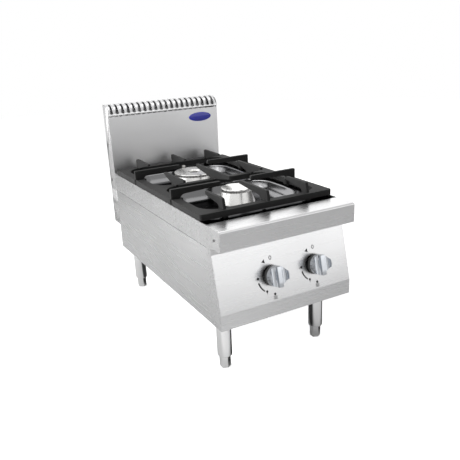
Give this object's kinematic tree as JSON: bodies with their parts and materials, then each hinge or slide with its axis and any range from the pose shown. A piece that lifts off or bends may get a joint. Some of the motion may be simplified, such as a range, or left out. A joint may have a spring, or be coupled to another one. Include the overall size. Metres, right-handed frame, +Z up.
{
  "type": "gas boiling top",
  "caption": "Gas boiling top on legs: stainless cabinet, iron pan support over burners in wells, sloping control panel with push-and-turn knobs, rear flue.",
  "frame": {"origin": "on the floor, under the middle of the whole appliance's box", "axes": "+X to the right seen from the front, +Y from the controls to the flue, +Z up"},
  "size_m": [0.4036, 0.8168, 0.64],
  "materials": {
    "stainless": "satin, fine linishing from side to side",
    "inner_sheet": "dull galvanised sheet",
    "grate_iron": "matt black enamel on cast iron",
    "burner_iron": "rough casting",
    "burner_aluminium": "machined, slightly heat stained",
    "brass": "machined",
    "pilot_steel": "turned steel",
    "gas_pipe": "zinc plated steel pipe",
    "tube_aluminium": "drawn tube",
    "copper": "drawn copper",
    "knob_chrome": "satin chrome",
    "badge_blue": "plain blue plate, no lettering",
    "leg_steel": "satin tube",
    "foot_steel": "satin steel",
    "fastener_steel": "zinc plated"
  },
  "bodies": {
    "root": {"hob_top": "stainless", "left_side_panel": "stainless", "right_side_panel": "stainless", "front_panel": "stainless", "flue_splash": "stainless", "flue_housing": "stainless", "flue_cover": "stainless", "base_panel": "inner_sheet", "rear_panel": "inner_sheet", "heat_shield": "inner_sheet", "flue_duct": "inner_sheet", "front_burner_rail": "inner_sheet", "rear_burner_rail": "inner_sheet", "manifold_brackets": "inner_sheet", "leg_plates": "inner_sheet", "front_burner_base": "burner_iron", "rear_burner_base": "burner_iron", "front_burner_crown": "burner_aluminium", "rear_burner_crown": "burner_aluminium", "front_injector": "brass", "rear_injector": "brass", "left_valve_body": "brass", "right_valve_body": "brass", "front_pilot_burner": "pilot_steel", "rear_pilot_burner": "pilot_steel", "gas_manifold": "gas_pipe", "inlet_elbow": "gas_pipe", "inlet_pipe": "gas_pipe", "front_supply_tube": "tube_aluminium", "rear_supply_tube": "tube_aluminium", "front_pilot_tube": "tube_aluminium", "rear_pilot_tube": "tube_aluminium", "front_thermocouple": "copper", "rear_thermocouple": "copper", "badge_plate": "badge_blue", "front_left_leg": "leg_steel", "front_right_leg": "leg_steel", "rear_left_leg": "leg_steel", "rear_right_leg": "leg_steel", "leg_bolts": "fastener_steel", "case_screws": "fastener_steel"},
    "left_valve": {"left_valve_plug": "brass", "left_valve_spring": "pilot_steel"},
    "right_valve": {"right_valve_plug": "brass", "right_valve_spring": "pilot_steel"},
    "left_control": {"left_valve_spindle": "pilot_steel", "left_knob": "knob_chrome"},
    "right_control": {"right_valve_spindle": "pilot_steel", "right_knob": "knob_chrome"},
    "pan_support": {"pan_support": "grate_iron"},
    "front_cap": {"front_burner_cap": "burner_aluminium"},
    "rear_cap": {"rear_burner_cap": "burner_aluminium"},
    "front_left_foot": {"front_left_foot": "foot_steel"},
    "front_right_foot": {"front_right_foot": "foot_steel"},
    "rear_left_foot": {"rear_left_foot": "foot_steel"},
    "rear_right_foot": {"rear_right_foot": "foot_steel"}
  },
  "joints": [
    {"name": "left_knob_turn", "type": "hinge", "parent": "root", "child": "left_valve", "pos_m": [-0.04, -0.36482, 0.2624], "axis": [0, -0.972, 0.2349], "range_deg": [0, 150]},
    {"name": "left_knob_push", "type": "slide", "parent": "left_valve", "child": "left_control", "axis": [0, 0.972, -0.2349], "range_m": [0, 0.004], "stiffness_N_per_m": 1500, "springref_m": -0.004, "deforming": ["left_valve_spring"]},
    {"name": "right_knob_turn", "type": "hinge", "parent": "root", "child": "right_valve", "pos_m": [0.093, -0.36482, 0.2624], "axis": [0, -0.972, 0.2349], "range_deg": [0, 150]},
    {"name": "right_knob_push", "type": "slide", "parent": "right_valve", "child": "right_control", "axis": [0, 0.972, -0.2349], "range_m": [0, 0.004], "stiffness_N_per_m": 1500, "springref_m": -0.004, "deforming": ["right_valve_spring"]},
    {"name": "pan_support_lift", "type": "slide", "parent": "root", "child": "pan_support", "axis": [0, 0, 1], "range_m": [0, 0.12]},
    {"name": "front_cap_lift", "type": "slide", "parent": "root", "child": "front_cap", "axis": [0, 0, 1], "range_m": [0, 0.01]},
    {"name": "rear_cap_lift", "type": "slide", "parent": "root", "child": "rear_cap", "axis": [0, 0, 1], "range_m": [0, 0.01]},
    {"name": "front_left_foot_adjust", "type": "slide", "parent": "root", "child": "front_left_foot", "axis": [0, 0, -1], "range_m": [0, 0.025]},
    {"name": "front_right_foot_adjust", "type": "slide", "parent": "root", "child": "front_right_foot", "axis": [0, 0, -1], "range_m": [0, 0.025]},
    {"name": "rear_left_foot_adjust", "type": "slide", "parent": "root", "child": "rear_left_foot", "axis": [0, 0, -1], "range_m": [0, 0.025]},
    {"name": "rear_right_foot_adjust", "type": "slide", "parent": "root", "child": "rear_right_foot", "axis": [0, 0, -1], "range_m": [0, 0.025]}
  ]
}
